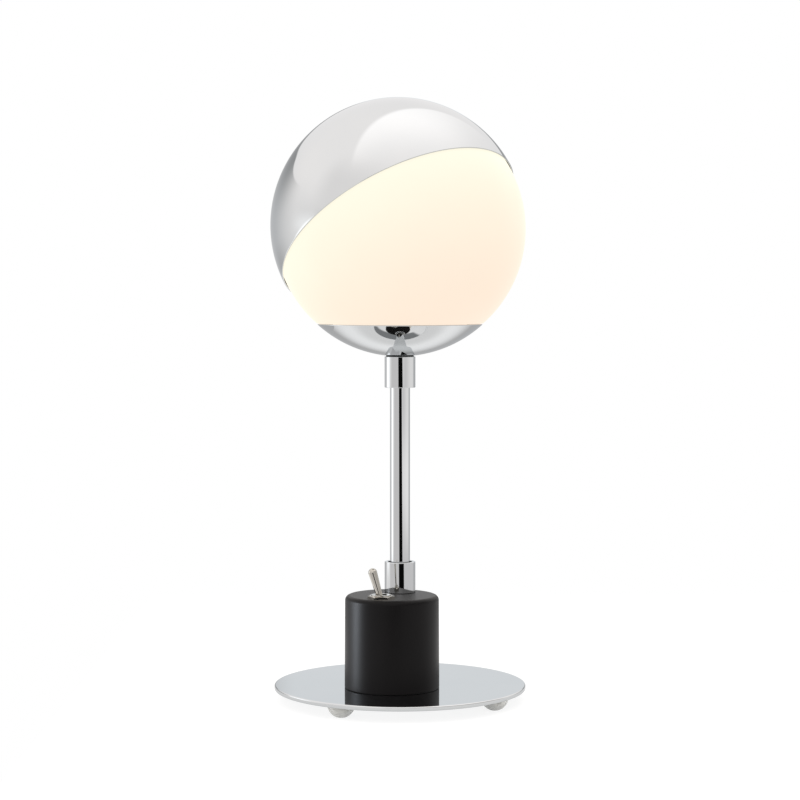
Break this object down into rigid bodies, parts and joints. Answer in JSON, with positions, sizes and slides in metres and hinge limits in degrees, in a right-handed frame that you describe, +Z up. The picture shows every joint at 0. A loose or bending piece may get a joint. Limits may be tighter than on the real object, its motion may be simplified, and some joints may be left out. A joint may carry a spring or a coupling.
{
  "type": "table lamp",
  "caption": "Table lamp: an opal glass ball under a half-shell metal shade that slides on it, in a shallow bowl on a slim stem, above a switch housing on a round base plate.",
  "frame": {"origin": "on the table under the stem's axis, at the height of the feet", "axes": "+Z up along the stem; -Y towards the side with the switch; +X to the right seen from there"},
  "size_m": [0.1535, 0.1525, 0.3613],
  "materials": {
    "chrome": "polished",
    "satin_black": "satin",
    "clear_rubber": "clear",
    "black_rubber": "matt",
    "plated_steel": "zinc plated",
    "nickel": "satin nickel",
    "brass": "plain",
    "black_plastic": "moulded",
    "white_plastic": "moulded",
    "porcelain": "glazed",
    "bulb_glass": "frosted",
    "light_rods": "coated",
    "opal_glass": "satin opal",
    "felt": "felt",
    "brown_wire": "insulation",
    "black_wire": "insulation",
    "blue_wire": "insulation",
    "earth_wire": "insulation"
  },
  "bodies": {
    "base": {"base_disc": "chrome", "foot_1": "clear_rubber", "foot_2": "clear_rubber", "foot_3": "clear_rubber", "foot_4": "clear_rubber", "cord_gland": "black_rubber", "switch_housing": "satin_black", "housing_screws": "plated_steel", "lower_collar": "chrome", "upper_collar": "chrome", "stem_tube": "chrome", "lower_nipple": "brass", "lower_nut": "plated_steel", "lower_washer": "plated_steel", "upper_nipple": "brass", "bowl_washer": "black_rubber", "bowl": "chrome", "bowl_nut": "plated_steel", "spring_plate": "plated_steel", "lampholder_base": "black_plastic", "lampholder_skirt": "black_plastic", "lampholder_insert": "porcelain", "lampholder_shell": "brass", "lampholder_contact": "brass", "lampholder_posts": "brass", "bulb_contact": "brass", "bulb_insulator": "black_plastic", "bulb_cap": "nickel", "bulb_envelope": "bulb_glass", "bulb_stem": "bulb_glass", "bulb_filaments": "light_rods", "switch_body": "black_plastic", "switch_tabs": "brass", "switch_bushing": "nickel", "switch_lock_washer": "plated_steel", "switch_dress_nut": "nickel", "switch_pivot_pin": "plated_steel", "terminal_block": "white_plastic", "terminal_screws": "brass", "terminal_block_screw": "plated_steel", "earth_tag": "brass", "earth_screw": "plated_steel", "supply_wire": "brown_wire", "switched_wire": "black_wire", "neutral_wire": "blue_wire", "earth_wire": "earth_wire"},
    "globe": {"opal_globe": "opal_glass"},
    "shade": {"shade_cap": "chrome", "shade_pads": "felt"},
    "lever": {"switch_lever": "nickel"}
  },
  "joints": [
    {"name": "globe_turn", "type": "hinge", "parent": "base", "child": "globe", "pos_m": [0, 0, 0.28274], "axis": [0, 0, 1], "continuous": true},
    {"name": "shade_tilt", "type": "hinge", "parent": "globe", "child": "shade", "pos_m": [0, 0, 0.28274], "axis": [-0.3795, -0.9252, 0], "range_deg": [-82, 10]},
    {"name": "switch_toggle", "type": "hinge", "parent": "base", "child": "lever", "pos_m": [0, -0.0297, 0.0634], "axis": [0, 1, 0], "range_deg": [0, 36]}
  ]
}
